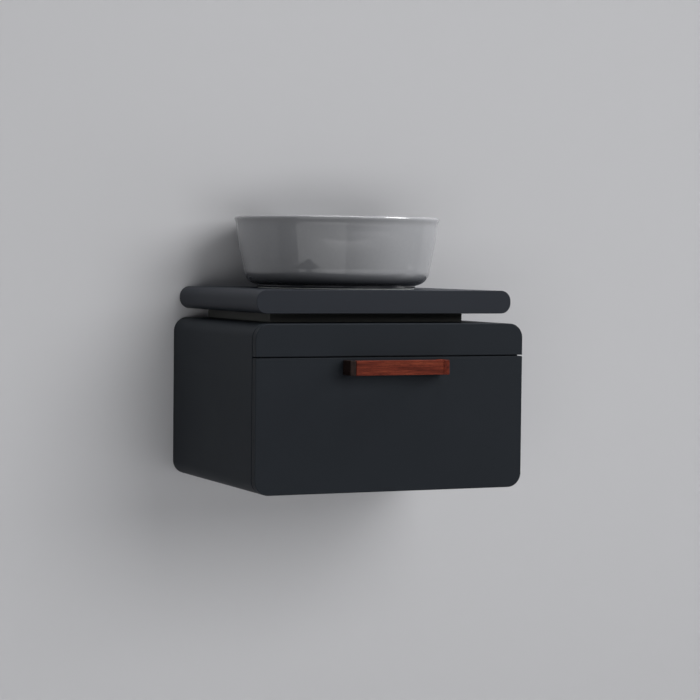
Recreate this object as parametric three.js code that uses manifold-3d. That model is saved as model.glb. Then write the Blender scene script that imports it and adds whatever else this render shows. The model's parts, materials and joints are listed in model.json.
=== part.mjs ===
// Wall-hung vanity with one drawer, a raised counter slab and a round vessel basin.
// Millimetres, +X to the right, +Y towards the wall, +Z up. The wall is the plane Y = 0.
// Heights below are counted from the cabinet's underside; the outer group then moves the
// origin to the middle of the wall rail that carries the vanity.
import * as THREE from 'three';
import { mergeVertices } from 'three/addons/utils/BufferGeometryUtils.js';
import Module from 'manifold-3d';

const wasm = await Module();
wasm.setup();

// ---- Clearances ----
const fit = 0.3; // glue line or seat between two touching pieces
const slideGap = 0.4; // between the nested members of a runner
const threadGap = 0.3; // between a nut, its thread and what passes through it

// ---- Cabinet ----
const cabinetWidth = 600;
const cabinetDepth = 490;
const cabinetHeight = 343;
const cornerRadius = 30; // long corners that run from the front to the wall
const panelThickness = 18;
const frontThickness = 19; // fascia and drawer front
const frontReveal = 2; // shadow gap between the fronts and the carcass
const fasciaHeight = 65.5;
const frontGap = 2.5; // between the fascia and the drawer front
const frontRailHeight = 62;
const backRailSetback = 16; // room behind the back rails for the wall rail
const upperBackRailHeight = 67;
const lowerBackRailHeight = 70;
const serviceHoleRadius = 60; // opening in the top panel for the waste and a wrench

// ---- Spacer frame and counter ----
const spacerHeight = 20;
const spacerWidth = 440;
const spacerSetback = 125; // behind the cabinet's front face
const spacerThickness = 18;
const counterWidth = 574;
const counterThickness = 48;
const counterSetback = 30;
const counterEndRadius = 22;
const wasteHoleGap = 4; // between the slab's hole and the waste

// ---- Basin ----
const basinX = -10; // axis of the basin and of its waste
const basinY = -222;
const basinHeight = 150;
const basinRimRadius = 220;
const basinLipFlare = 4; // how far the rim stands out from the wall's slack curve
const basinLipHeight = 16; // height over which it does so
const basinWaistRadius = 200; // where the wall starts to turn in
const basinFootRadius = 170;
const basinFootWidth = 14;
const basinFootHeight = 6;
const basinTurnHeight = 38; // height of the turn from the wall down to the foot
const basinWall = 10;
const basinFloor = 13; // floor thickness at the waste
const basinFloorRise = 7; // fall of the floor from the wall to the waste
const basinInnerTurn = 46; // inner radius between wall and floor
const basinHoleGap = 2.5; // between the basin's hole and the waste
const sealThickness = 1.4; // silicone bead under the foot
const sealWidth = 9;

// ---- Waste ----
const wasteThreadRadius = 21;
const wasteWall = 3.5;
const wasteFlangeRadius = 33;
const wasteFlangeThickness = 3;
const wasteLength = 112; // flange top to the lower end of the thread
const wasteGasket = 1.4;
const lowerGasket = 3;
const locknutHeight = 10;
const nutWall = 6; // wall of the locknut and of the trap's nuts
const plugTravel = 8;
const plugRadius = 32;
const plugThickness = 6;
const stemRadius = 5;
const stemLength = 44;
const guideHubRadius = 8.5;
const guideHeight = 12;

// ---- Bottle trap ----
const pipeRadius = 16;
const pipeWall = 1.5;
const inletNutHeight = 26;
const inletPipeLength = 118;
const trapRadius = 30;
const trapWall = 3;
const trapHeadDrop = 64; // from the end of the waste down to the top of the trap's head
const trapHeadHeight = 62;
const trapCupHeight = 62;
const trapCollarHeight = 15;
const trapOutletDrop = 27; // from the top of the head down to the outlet's axis
const outletSocketLength = 30; // beyond the head's side
const outletNutLength = 20;
const rosetteRadius = 34;
const rosetteDepth = 11;

// ---- Wall fixing ----
const railEndGap = 10; // between the rail's ends and the carcass sides
const railPlateHeight = 26;
const railThickness = 2.5;
const railLipHeight = 9;
const railLipOffset = 4.6; // from the wall to the back of the lip
const railDrop = 56; // from the cabinet's top down to the middle of the rail's plate
const hangerWidth = 58;
const hangerDepth = 50;
const hangerHeight = 60;
const hookWidth = 24;
const hookThickness = 2.6;

// ---- Drawer and runners ----
const runnerThickness = 12.6; // room for a runner between drawer and carcass
const runnerHeight = 45;
const runnerLength = 400;
const runnerSetback = 8; // behind the carcass's front edge
const runnerSheet = 1.6;
const outerLip = 1; // the outer channel stops this far short of the drawer side
const middleLip = 1.6; // and the middle one this far
const runnerRise = 62; // drawer box underside to the runner's underside
const boardThickness = 16; // drawer sides and box front
const thinBoard = 12; // drawer base, backs and recess walls
const drawerFloorGap = 16; // below the drawer box
const drawerTopGap = 49; // above the drawer box, up to the front rail
const drawerBackGap = 7; // behind the drawer box
const drawerBaseRise = 6; // groove of the base above the sides' lower edge
const recessHalfWidth = 65; // notch that clears the trap
const recessReach = 60; // from the trap's axis to the notch's front wall

// ---- Handle ----
const handleLength = 222;
const handleHeight = 30;
const handleProjection = 38;
const handleBarThickness = 12;
const handleLegWidth = 13;
const handleEdge = 1.2; // eased edges
const handleTopGap = 5; // below the drawer front's upper edge
const screwRadius = 2;
const screwHeadRadius = 4.2;
const screwHeadHeight = 2.6;
const screwGrip = 16; // length inside the wooden leg
const screwClearance = 0.4;
const bumperRadius = 5;

// ---- Places that follow from the sizes ----
const wasteBore = wasteThreadRadius - wasteWall;
const basinHoleRadius = wasteThreadRadius + basinHoleGap;
const counterHoleRadius = wasteThreadRadius + wasteHoleGap;
const locknutFlats = 2 * (wasteThreadRadius + nutWall);
const trapNutRadius = wasteThreadRadius + nutWall;
const sideInner = cabinetWidth / 2 - panelThickness;
const carcassFront = -(cabinetDepth - frontThickness - frontReveal);
const frontFace = -cabinetDepth;
const frontBack = frontFace + frontThickness;
const fasciaBottom = cabinetHeight - fasciaHeight;
const drawerFrontHeight = fasciaBottom - frontGap;
const frontRailBottom = cabinetHeight - panelThickness - frontRailHeight;
const counterBottom = cabinetHeight + spacerHeight;
const counterTop = counterBottom + counterThickness;
const counterFront = -(cabinetDepth - counterSetback);
const basinBottom = counterTop + sealThickness + 2 * fit;
const basinRim = basinBottom + basinHeight;
const basinUnderside = basinBottom + basinFootHeight;
const drainSeat = basinUnderside + basinFloor;
const flangeBottom = drainSeat + wasteGasket + 2 * fit;
const flangeTop = flangeBottom + wasteFlangeThickness;
const wasteEnd = flangeTop - wasteLength;
const inletPipeTop = wasteEnd - fit;
const trapHeadTop = wasteEnd - trapHeadDrop;
const trapHeadBottom = trapHeadTop - trapHeadHeight;
const trapCupBottom = trapHeadBottom + trapCollarHeight - trapCupHeight;
const outletHeight = trapHeadTop - trapOutletDrop;
const socketEnd = basinY + trapRadius + outletSocketLength;
const railMiddle = cabinetHeight - railDrop;
const railLength = 2 * (sideInner - railEndGap);
const drawerHalfWidth = sideInner - runnerThickness;
const drawerBottom = panelThickness + drawerFloorGap;
const drawerTop = frontRailBottom - drawerTopGap;
const drawerBack = -(backRailSetback + panelThickness + drawerBackGap);
const drawerInner = drawerHalfWidth - boardThickness;
const drawerBaseTop = drawerBottom + drawerBaseRise + thinBoard;
const boxFrontBack = frontBack + fit + boardThickness;
const recessFront = basinY - recessReach;
const runnerFront = carcassFront + runnerSetback;
const runnerBottom = drawerBottom + runnerRise;
const handleTop = drawerFrontHeight - handleTopGap;
const handleMiddle = handleTop - handleHeight / 2;
const legCentre = (handleLength - handleLegWidth) / 2;

// ---- Materials ----
const paint = (color, roughness, metalness = 0) =>
  new THREE.MeshStandardMaterial({ color, roughness, metalness });
const lacquer = paint(0x292b2f, 0.42);
const counterLacquer = paint(0x2e3135, 0.4);
const blackSpacer = paint(0x0c0d0e, 0.6);
const melamine = paint(0x55565a, 0.55);
const drawerBoard = paint(0x77787a, 0.5);
const glazedCeramic = paint(0xe9eaea, 0.08);
const chrome = paint(0xc9ccd0, 0.1, 1);
const silicone = paint(0xd4d6d8, 0.5);
const blackRubber = paint(0x17181a, 0.75);
const whitePlastic = paint(0xe4e5e3, 0.4);
const zincSteel = paint(0xa9adb2, 0.35, 1);
const redWood = paint(0x7c3d2c, 0.5);

const pieces = new THREE.Group();

function place(name, geometry, material, [x, y, z] = [0, 0, 0], parent = pieces) {
  const mesh = new THREE.Mesh(geometry, material);
  mesh.name = name;
  mesh.position.set(x, y, z);
  parent.add(mesh);
}

// A straight-edged board between two limits on each axis.
function board(name, material, [x0, x1], [y0, y1], [z0, z1]) {
  const geometry = new THREE.BoxGeometry(x1 - x0, y1 - y0, z1 - z0);
  place(name, geometry, material, [(x0 + x1) / 2, (y0 + y1) / 2, (z0 + z1) / 2]);
}

// An outline drawn in X and Z, run along Y from `front` to `back`.
function alongY(outline, front, back, curveSegments = 12) {
  const geometry = new THREE.ExtrudeGeometry(outline, {
    depth: back - front,
    bevelEnabled: false,
    curveSegments,
  });
  return geometry.rotateX(Math.PI / 2).translate(0, back, 0);
}

// An outline drawn in Y and Z, run along X and centred on X = 0.
function alongX(outline, width, curveSegments = 6) {
  const geometry = new THREE.ExtrudeGeometry(outline, { depth: width, bevelEnabled: false, curveSegments });
  const yzToSpace = new THREE.Matrix4().makeBasis(
    new THREE.Vector3(0, 1, 0),
    new THREE.Vector3(0, 0, 1),
    new THREE.Vector3(1, 0, 0),
  );
  return geometry.applyMatrix4(yzToSpace).translate(-width / 2, 0, 0);
}

// A turned piece from a closed outline of [radius, distance along the axis] points.
function turnedAboutY(outline, segments = 26) {
  const points = [...outline, outline[0]].map(([radius, along]) => new THREE.Vector2(radius, along));
  return new THREE.LatheGeometry(points, segments);
}

function turnedAboutZ(outline, segments = 26) {
  return turnedAboutY(outline, segments).rotateX(Math.PI / 2);
}

function ringOutline(inner, outer, low, high) {
  return [[inner, low], [outer, low], [outer, high], [inner, high]];
}

// A rectangle from z = low to high whose upper or lower corners can be round.
function panelOutline(width, low, high, { upper = 0, lower = 0 }) {
  const half = width / 2;
  const outline = new THREE.Shape();
  outline.moveTo(-half + lower, low);
  outline.lineTo(half - lower, low);
  if (lower) outline.absarc(half - lower, low + lower, lower, -Math.PI / 2, 0);
  outline.lineTo(half, high - upper);
  if (upper) outline.absarc(half - upper, high - upper, upper, 0, Math.PI / 2);
  outline.lineTo(-half + upper, high);
  if (upper) outline.absarc(-half + upper, high - upper, upper, Math.PI / 2, Math.PI);
  outline.lineTo(-half, low + lower);
  if (lower) outline.absarc(-half + lower, low + lower, lower, Math.PI, Math.PI * 1.5);
  return outline;
}

function polygon(points) {
  return new THREE.Shape(points.map(([a, b]) => new THREE.Vector2(a, b)));
}

function roundHole(radius, x, y) {
  return new THREE.Path().absarc(x, y, radius, 0, Math.PI * 2);
}

// ---- Joining and cutting ----
function toSolid(geometry) {
  const bare = geometry.clone();
  bare.deleteAttribute('normal');
  bare.deleteAttribute('uv');
  const merged = mergeVertices(bare, 1e-4);
  return new wasm.Manifold(new wasm.Mesh({
    numProp: 3,
    vertProperties: merged.attributes.position.array,
    triVerts: Uint32Array.from(merged.index.array),
  }));
}

function toGeometry(solid) {
  const mesh = solid.getMesh();
  const geometry = new THREE.BufferGeometry();
  geometry.setAttribute('position', new THREE.BufferAttribute(mesh.vertProperties, 3));
  geometry.setIndex(new THREE.BufferAttribute(mesh.triVerts, 1));
  geometry.computeVertexNormals();
  return geometry;
}

// ---- Carcass ----
function buildSidePanels() {
  for (const [side, sign] of [['left', -1], ['right', 1]]) {
    const x = [sign * sideInner, sign * cabinetWidth / 2].sort((a, b) => a - b);
    const z = [cornerRadius + fit, cabinetHeight - cornerRadius - fit];
    board(`side_panel_${side}`, lacquer, x, [carcassFront, 0], z);
  }
}

// Round-edged posts, rebated inside, that join the sides to the top and bottom panels.
function buildCornerPosts() {
  for (const [level, up] of [['top', 1], ['bottom', -1]]) {
    for (const [side, right] of [['left', -1], ['right', 1]]) {
      const rebate = cornerRadius - panelThickness;
      const outline = new THREE.Shape();
      outline.moveTo(rebate, 0);
      outline.lineTo(cornerRadius, 0);
      outline.absarc(0, 0, cornerRadius, 0, Math.PI / 2);
      outline.lineTo(0, rebate);
      outline.lineTo(rebate, rebate);
      const post = alongY(outline, carcassFront, 0, 16);
      const quarterTurns = { '1,1': 0, '-1,1': 1, '-1,-1': 2, '1,-1': 3 }[`${right},${up}`];
      post.rotateY(-quarterTurns * Math.PI / 2);
      const x = right * (cabinetWidth / 2 - cornerRadius);
      const z = up > 0 ? cabinetHeight - cornerRadius : cornerRadius;
      place(`corner_post_${level}_${side}`, post, lacquer, [x, 0, z]);
    }
  }
}

function buildTopAndBottom() {
  const half = cabinetWidth / 2 - cornerRadius - fit;
  const top = polygon([[-half, carcassFront], [half, carcassFront], [half, 0], [-half, 0]]);
  top.holes.push(roundHole(serviceHoleRadius, basinX, basinY));
  const topPanel = new THREE.ExtrudeGeometry(top, {
    depth: panelThickness,
    bevelEnabled: false,
    curveSegments: 24,
  });
  place('top_panel', topPanel, lacquer, [0, 0, cabinetHeight - panelThickness]);
  board('bottom_panel', lacquer, [-half, half], [carcassFront, 0], [0, panelThickness]);
}

function buildRails() {
  const underTop = cabinetHeight - panelThickness - fit;
  const half = sideInner - fit;
  const betweenHangers = sideInner - hangerWidth - 2 * fit;
  const railY = [-(backRailSetback + panelThickness), -backRailSetback];
  board('front_rail', melamine, [-half, half],
    [frontBack + fit, frontBack + fit + panelThickness], [frontRailBottom, underTop]);
  board('back_rail_upper', melamine, [-betweenHangers, betweenHangers],
    railY, [underTop - upperBackRailHeight, underTop]);
  board('back_rail_lower', melamine, [-half, half],
    railY, [panelThickness + fit, panelThickness + fit + lowerBackRailHeight]);
}

function buildFascia() {
  const outline = panelOutline(cabinetWidth, fasciaBottom, cabinetHeight, { upper: cornerRadius });
  place('front_fascia', alongY(outline, frontFace, frontBack, 16), lacquer);
}

// ---- Spacer frame and counter ----
function buildSpacer() {
  const z = [cabinetHeight + fit, counterBottom - fit];
  const front = frontFace + spacerSetback;
  const half = spacerWidth / 2;
  const sideY = [front + spacerThickness + fit, 0];
  const backX = half - spacerThickness - fit;
  board('spacer_front', blackSpacer, [-half, half], [front, front + spacerThickness], z);
  board('spacer_left', blackSpacer, [-half, -half + spacerThickness], sideY, z);
  board('spacer_right', blackSpacer, [half - spacerThickness, half], sideY, z);
  board('spacer_back', blackSpacer, [-backX, backX], [-spacerThickness, 0], z);
}

function buildCounter() {
  const radius = Math.min(counterEndRadius, counterThickness / 2 - 1);
  const section = panelOutline(counterWidth, counterBottom, counterTop, { upper: radius, lower: radius });
  const slab = toSolid(alongY(section, counterFront, 0, 12));
  const drill = turnedAboutZ([[0, -fit], [counterHoleRadius, -fit],
    [counterHoleRadius, counterThickness + fit], [0, counterThickness + fit]]);
  drill.translate(basinX, basinY, counterBottom);
  place('countertop', toGeometry(slab.subtract(toSolid(drill))), counterLacquer);
}

// ---- Basin ----
// Outer wall radius at a height above the basin's underside: a slack curve from the waist
// out to a small flare at the rim, and a quarter turn below the waist down to the foot.
function basinOuterRadius(height) {
  if (height >= basinTurnHeight) {
    const rise = (height - basinTurnHeight) / (basinHeight - basinTurnHeight);
    const slack = basinRimRadius - basinLipFlare - basinWaistRadius;
    const lipStart = basinHeight - basinWall / 2 - basinLipHeight;
    const lipRise = Math.max(0, height - lipStart) / basinLipHeight;
    return basinWaistRadius + slack * Math.sin(rise * Math.PI / 2) + basinLipFlare * lipRise ** 2;
  }
  const drop = 1 - (height - basinFootHeight) / (basinTurnHeight - basinFootHeight);
  const turn = 1 - Math.sqrt(1 - drop * drop * 0.98);
  return basinWaistRadius - (basinWaistRadius - basinFootRadius - 2) * turn / 0.86;
}

function basinOutline() {
  const outline = [];
  const floorAtWall = basinFootHeight + basinFloor + basinFloorRise;
  const lip = basinWall / 2;
  const rimCentre = basinRimRadius - lip;
  // Underside, from the waste hole out to the foot
  outline.push([basinHoleRadius, basinFootHeight]);
  outline.push([basinFootRadius - basinFootWidth, basinFootHeight]);
  outline.push([basinFootRadius - basinFootWidth, 0]);
  outline.push([basinFootRadius, 0]);
  outline.push([basinFootRadius, basinFootHeight]);
  // Outside, up to the rim
  for (const step of [0.15, 0.4, 0.65, 0.85, 1]) {
    const height = basinFootHeight + (basinTurnHeight - basinFootHeight) * step;
    outline.push([basinOuterRadius(height), height]);
  }
  for (const step of [0.2, 0.4, 0.6, 0.8, 0.9]) {
    const height = basinTurnHeight + (basinHeight - basinTurnHeight) * step;
    outline.push([basinOuterRadius(height), height]);
  }
  // Rounded rim
  for (const angle of [0, 45, 90, 135, 180]) {
    const radians = angle * Math.PI / 180;
    outline.push([rimCentre + lip * Math.cos(radians), basinHeight - lip + lip * Math.sin(radians)]);
  }
  // Inside wall, inner turn and floor
  const turnTop = floorAtWall + basinInnerTurn;
  for (const step of [0.9, 0.66, 0.33]) {
    const height = turnTop + (basinHeight - lip - turnTop) * step;
    outline.push([basinOuterRadius(height) - basinWall, height]);
  }
  const wallAtTurn = basinOuterRadius(turnTop) - basinWall;
  for (const angle of [0, 18, 36, 54, 72, 90]) {
    const radians = angle * Math.PI / 180;
    outline.push([
      wallAtTurn - basinInnerTurn * (1 - Math.cos(radians)),
      turnTop - basinInnerTurn * Math.sin(radians),
    ]);
  }
  const seat = wasteFlangeRadius + 2;
  outline.push([seat, basinFootHeight + basinFloor]);
  outline.push([basinHoleRadius, basinFootHeight + basinFloor]);
  return outline;
}

function buildBasin() {
  place('basin', turnedAboutZ(basinOutline(), 64), glazedCeramic, [basinX, basinY, basinBottom]);
  const middle = basinFootRadius - basinFootWidth / 2;
  const bead = ringOutline(middle - sealWidth / 2, middle + sealWidth / 2, 0, sealThickness);
  place('basin_seal', turnedAboutZ(bead, 48), silicone, [basinX, basinY, counterTop + fit]);
}

// ---- Waste ----
function buildWaste() {
  const centre = (z) => [basinX, basinY, z];
  const body = [
    [wasteBore, wasteEnd], [wasteThreadRadius, wasteEnd], [wasteThreadRadius, flangeBottom],
    [wasteFlangeRadius, flangeBottom], [wasteFlangeRadius, flangeTop - 1],
    [wasteFlangeRadius - 1, flangeTop], [wasteBore, flangeTop],
  ];
  place('waste_body', turnedAboutZ(body), chrome, centre(0));
  const gasketInner = wasteThreadRadius + threadGap;
  const gasketSeat = drainSeat + fit;
  const upper = ringOutline(gasketInner, wasteFlangeRadius - 2, gasketSeat, gasketSeat + wasteGasket);
  place('waste_gasket_upper', turnedAboutZ(upper), blackRubber, centre(0));
  const gasketTop = counterBottom - fit;
  const lower = ringOutline(gasketInner, counterHoleRadius + 9, gasketTop - lowerGasket, gasketTop);
  place('waste_gasket_lower', turnedAboutZ(lower), blackRubber, centre(0));
  const hexRadius = locknutFlats / Math.sqrt(3);
  const hexagon = polygon([0, 1, 2, 3, 4, 5].map((corner) => [
    hexRadius * Math.cos(corner * Math.PI / 3), hexRadius * Math.sin(corner * Math.PI / 3),
  ]));
  hexagon.holes.push(roundHole(gasketInner, 0, 0));
  const nut = new THREE.ExtrudeGeometry(hexagon, {
    depth: locknutHeight,
    bevelEnabled: false,
    curveSegments: 16,
  });
  place('waste_locknut', nut, chrome, centre(gasketTop - lowerGasket - fit - locknutHeight));
}

// Hub on three arms inside the waste: it guides the plug's stem.
function buildPlugGuide() {
  const reach = wasteBore - fit;
  const hub = turnedAboutZ([[0, 0], [guideHubRadius, 0], [guideHubRadius, guideHeight], [0, guideHeight]]);
  let guide = toSolid(hub);
  for (const arm of [0, 1, 2]) {
    const bar = new THREE.BoxGeometry(reach - 2, 3, guideHeight);
    bar.translate((reach - 2) / 2, 0, guideHeight / 2).rotateZ(arm * 2 * Math.PI / 3);
    guide = guide.add(toSolid(bar));
  }
  const hoop = turnedAboutZ(ringOutline(reach - 2.4, reach, 0, guideHeight));
  guide = guide.add(toSolid(hoop));
  const bore = turnedAboutZ([[0, -1], [stemRadius + fit, -1],
    [stemRadius + fit, guideHeight + 1], [0, guideHeight + 1]], 24);
  guide = guide.subtract(toSolid(bore));
  const low = flangeTop - stemLength + plugTravel + 2;
  place('plug_guide', toGeometry(guide), whitePlastic, [basinX, basinY, low]);
}

function buildPlug() {
  const seat = flangeTop + fit;
  const outline = [
    [0, seat - stemLength], [stemRadius, seat - stemLength], [stemRadius, seat],
    [plugRadius - 1, seat], [plugRadius, seat + 1], [plugRadius, seat + 3],
    [plugRadius - 3, seat + plugThickness - 1], [plugRadius / 2, seat + plugThickness - 0.2],
    [0, seat + plugThickness],
  ];
  place('drain_plug', turnedAboutZ(outline), chrome, [basinX, basinY, 0]);
}

// ---- Bottle trap ----
function buildTrap() {
  const axis = (z) => [basinX, basinY, z];
  const pipeInner = pipeRadius - pipeWall;
  const grip = pipeRadius + threadGap;
  const nutTop = wasteEnd + inletNutHeight * 0.6;
  const nutStep = wasteEnd - fit;
  const nut = [
    [grip, nutTop - inletNutHeight], [trapNutRadius, nutTop - inletNutHeight], [trapNutRadius, nutTop],
    [wasteThreadRadius + threadGap, nutTop], [wasteThreadRadius + threadGap, nutStep], [grip, nutStep],
  ];
  place('trap_inlet_nut', turnedAboutZ(nut), chrome, axis(0));
  const pipe = ringOutline(pipeInner, pipeRadius, inletPipeTop - inletPipeLength, inletPipeTop);
  place('trap_inlet_pipe', turnedAboutZ(pipe, 24), chrome, axis(0));

  const cavity = trapRadius - trapWall;
  const head = turnedAboutZ([
    [grip, trapHeadTop - trapWall], [cavity, trapHeadTop - trapWall], [cavity, trapHeadBottom],
    [trapRadius, trapHeadBottom], [trapRadius, trapHeadTop - 2], [trapRadius - 2, trapHeadTop],
    [grip, trapHeadTop],
  ]);
  const socketLength = trapRadius + outletSocketLength;
  const socketOuter = grip + trapWall;
  const socket = turnedAboutY([[0, 0], [socketOuter, 0], [socketOuter, socketLength], [0, socketLength]], 24);
  const bore = turnedAboutY([[0, cavity / 2], [grip, cavity / 2],
    [grip, socketLength + 1], [0, socketLength + 1]], 24);
  const inside = turnedAboutZ([[0, trapHeadBottom - 1], [cavity, trapHeadBottom - 1],
    [cavity, trapHeadTop - trapWall], [0, trapHeadTop - trapWall]]);
  socket.translate(0, 0, outletHeight);
  bore.translate(0, 0, outletHeight);
  const body = toSolid(head).add(toSolid(socket)).subtract(toSolid(bore)).subtract(toSolid(inside));
  place('trap_body', toGeometry(body), chrome, axis(0));

  const collar = trapRadius + threadGap;
  const collarTop = trapHeadBottom + trapCollarHeight;
  const cup = [
    [0, trapCupBottom], [trapRadius - 8, trapCupBottom], [trapRadius, trapCupBottom + 8],
    [trapRadius, trapHeadBottom - 6], [collar + trapWall, trapHeadBottom - 3], [collar + trapWall, collarTop],
    [collar, collarTop], [collar, trapHeadBottom - fit], [cavity, trapHeadBottom - fit],
    [cavity, trapCupBottom + 9], [trapRadius - 10, trapCupBottom + trapWall], [0, trapCupBottom + trapWall],
  ];
  place('trap_cup', turnedAboutZ(cup), chrome, axis(0));

  const nutFront = socketEnd - outletNutLength * 0.7;
  const nutBack = nutFront + outletNutLength;
  const outletNut = [
    [socketOuter + threadGap, nutFront], [trapNutRadius, nutFront], [trapNutRadius, nutBack],
    [grip, nutBack], [grip, socketEnd + fit], [socketOuter + threadGap, socketEnd + fit],
  ];
  place('trap_outlet_nut', turnedAboutY(outletNut), chrome, [basinX, 0, outletHeight]);
  const outletPipe = ringOutline(pipeInner, pipeRadius, socketEnd - outletSocketLength + 4, 0);
  place('trap_outlet_pipe', turnedAboutY(outletPipe, 24), chrome, [basinX, 0, outletHeight]);
  const rosette = [
    [grip, -rosetteDepth], [grip + 6, -rosetteDepth], [rosetteRadius, -3], [rosetteRadius, 0], [grip, 0],
  ];
  place('wall_rosette', turnedAboutY(rosette), chrome, [basinX, 0, outletHeight]);
}

// ---- Wall fixing ----
function buildWallRail() {
  const half = railPlateHeight / 2;
  const lipBack = -railLipOffset;
  const lipFront = lipBack - railThickness;
  const outline = polygon([
    [0, -half], [0, half - 4], [lipBack, half + 1], [lipBack, half + railLipHeight],
    [lipFront, half + railLipHeight], [lipFront, half], [-railThickness, half - 5], [-railThickness, -half],
  ]);
  place('wall_rail', alongX(outline, railLength), zincSteel, [0, 0, railMiddle]);
}

function buildHangers() {
  const underTop = cabinetHeight - panelThickness - fit;
  const hangerBottom = underTop - hangerHeight;
  const hangerBack = -backRailSetback;
  const lipTop = railMiddle + railPlateHeight / 2 + railLipHeight;
  const armBottom = lipTop + fit;
  const tipBack = -1;
  const tipFront = tipBack - hookThickness;
  const tipBottom = lipTop - railLipHeight + 3;
  const armTop = armBottom + hookThickness;
  const hook = polygon([
    [hangerBack + fit, armBottom], [tipFront, armBottom], [tipFront, tipBottom],
    [tipBack, tipBottom], [tipBack, armTop], [hangerBack + fit, armTop],
  ]);
  for (const [side, sign] of [['left', -1], ['right', 1]]) {
    const centre = sign * (sideInner - fit - hangerWidth / 2);
    const x = [centre - hangerWidth / 2, centre + hangerWidth / 2];
    const y = [hangerBack - hangerDepth, hangerBack];
    board(`hanger_body_${side}`, zincSteel, x, y, [hangerBottom, underTop]);
    place(`hanger_hook_${side}`, alongX(hook, hookWidth), zincSteel, [centre, 0, 0]);
  }
}

// ---- Drawer ----
// Three nested members: one on the carcass, one on the drawer and one between them.
function buildRunners() {
  const room = runnerThickness - 2 * fit;
  const span = [runnerFront, runnerFront + runnerLength];
  const middleHeight = runnerHeight - 2 * (runnerSheet + slideGap);
  const innerHeight = middleHeight - 2 * (runnerSheet + slideGap);
  // An open channel: web at x = 0, flanges reaching to +depth.
  const channel = (height, depth) => polygon([
    [0, -height / 2], [depth, -height / 2], [depth, -height / 2 + runnerSheet],
    [runnerSheet, -height / 2 + runnerSheet], [runnerSheet, height / 2 - runnerSheet],
    [depth, height / 2 - runnerSheet], [depth, height / 2], [0, height / 2],
  ]);
  const outerWeb = sideInner - fit;
  const middleWeb = outerWeb - runnerSheet - slideGap;
  const innerWeb = sideInner - runnerThickness + fit;
  const innerDepth = innerWeb - (middleWeb - runnerSheet - slideGap);
  for (const [side, sign] of [['left', -1], ['right', 1]]) {
    const facing = (geometry, inward) => (sign * inward > 0 ? geometry : geometry.rotateZ(Math.PI));
    const centred = (outline) => alongY(outline, -runnerLength / 2, runnerLength / 2);
    const z = runnerBottom + runnerHeight / 2;
    const y = (span[0] + span[1]) / 2;
    const outer = facing(centred(channel(runnerHeight, room - outerLip)), -1);
    const middle = facing(centred(channel(middleHeight, room - runnerSheet - slideGap - middleLip)), -1);
    const inner = facing(centred(channel(innerHeight, -innerDepth)), 1);
    place(`runner_cabinet_${side}`, outer, zincSteel, [sign * outerWeb, y, z]);
    place(`runner_middle_${side}`, middle, zincSteel, [sign * middleWeb, y, z]);
    place(`runner_drawer_${side}`, inner, zincSteel, [sign * innerWeb, y, z]);
  }
}

function buildDrawerBox() {
  const sideY = [frontBack + fit, drawerBack];
  const z = [drawerBottom, drawerTop];
  board('drawer_side_left', drawerBoard, [-drawerHalfWidth, -drawerInner], sideY, z);
  board('drawer_side_right', drawerBoard, [drawerInner, drawerHalfWidth], sideY, z);
  const inner = drawerInner - fit;
  board('drawer_box_front', drawerBoard, [-inner, inner], [frontBack + fit, boxFrontBack], z);
  const baseZ = [drawerBaseTop - thinBoard, drawerBaseTop];
  board('drawer_base', drawerBoard, [-inner, inner], [boxFrontBack + fit, drawerBack], baseZ);

  const aboveBase = [drawerBaseTop + fit, drawerTop];
  const backY = [drawerBack - thinBoard, drawerBack];
  const recessLeft = basinX - recessHalfWidth;
  const recessRight = basinX + recessHalfWidth;
  const wallY = [recessFront - thinBoard, drawerBack];
  board('drawer_back_left', drawerBoard, [-inner, recessLeft - thinBoard - fit], backY, aboveBase);
  board('drawer_back_right', drawerBoard, [recessRight + thinBoard + fit, inner], backY, aboveBase);
  board('drawer_recess_left', drawerBoard, [recessLeft - thinBoard, recessLeft], wallY, aboveBase);
  board('drawer_recess_right', drawerBoard, [recessRight, recessRight + thinBoard], wallY, aboveBase);
  board('drawer_recess_front', drawerBoard, [recessLeft + fit, recessRight - fit],
    [recessFront - thinBoard, recessFront], aboveBase);
}

function buildDrawerFront() {
  const outline = panelOutline(cabinetWidth, 0, drawerFrontHeight, { lower: cornerRadius });
  for (const sign of [-1, 1]) {
    outline.holes.push(roundHole(screwRadius + screwClearance, sign * legCentre, handleMiddle));
  }
  place('drawer_front', alongY(outline, frontFace, frontBack, 16), lacquer);
}

function buildBumpers() {
  const bumperX = cabinetWidth / 2 - panelThickness / 2;
  const thickness = frontReveal - 2 * fit;
  const dot = ringOutline(0, bumperRadius, frontBack + fit, frontBack + fit + thickness);
  for (const [side, sign] of [['left', -1], ['right', 1]]) {
    place(`drawer_bumper_${side}`, turnedAboutY(dot, 16), silicone,
      [sign * bumperX, 0, drawerFrontHeight - 4 * bumperRadius]);
  }
}

// ---- Handle ----
function easedSection(width, height) {
  return panelOutline(width, -height / 2, height / 2, { upper: handleEdge, lower: handleEdge });
}

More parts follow.
